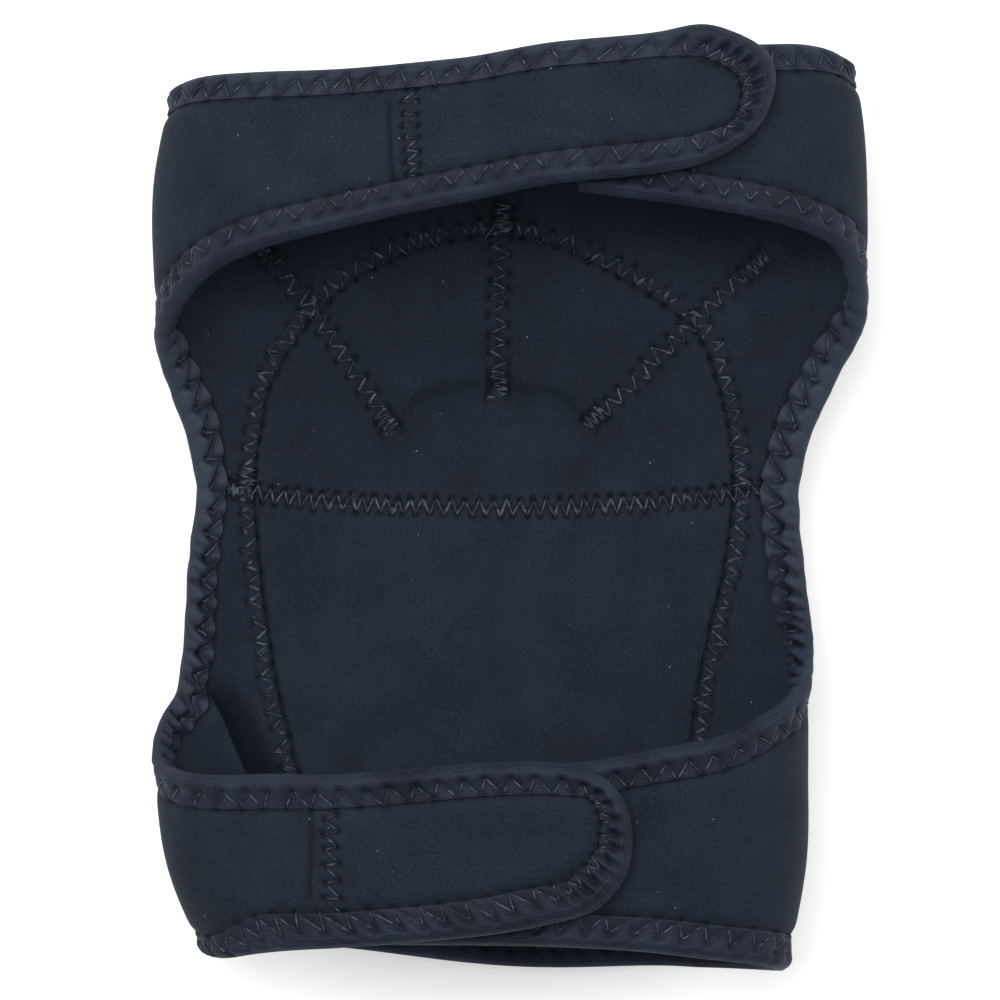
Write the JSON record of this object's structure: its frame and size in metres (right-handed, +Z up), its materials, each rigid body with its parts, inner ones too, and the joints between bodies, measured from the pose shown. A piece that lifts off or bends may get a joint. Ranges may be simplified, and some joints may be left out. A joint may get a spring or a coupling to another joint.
{
  "type": "neoprene knee pad",
  "caption": "Closed neoprene knee pad lying on its cushioned front, with hook-and-loop straps round thigh and calf, bound edges and an open back.",
  "frame": {"origin": "on the floor under the middle of the object's box", "axes": "+Y along the leg towards the thigh, +X to the right of someone looking into the open back, +Z up, from the cushioned front to the open back"},
  "size_m": [0.187, 0.2452, 0.0801],
  "materials": {
    "neoprene": "neoprene foam with a dark navy knitted face, matt with a soft sheen at grazing angles",
    "binding_tape": "dark blue-grey stretch binding tape, faintly shiny, sewn with zigzag thread",
    "hook_tape": "black moulded hook tape",
    "cushion_cover": "foam cushion with a dark woven cover"
  },
  "bodies": {
    "root": {"thigh_panel": "neoprene", "shin_panel": "neoprene", "thigh_hook_patch": "hook_tape", "shin_hook_patch": "hook_tape", "long_binding": "binding_tape", "window_binding": "binding_tape", "knee_cushion": "cushion_cover", "shin_cushion": "cushion_cover"}
  },
  "joints": []
}
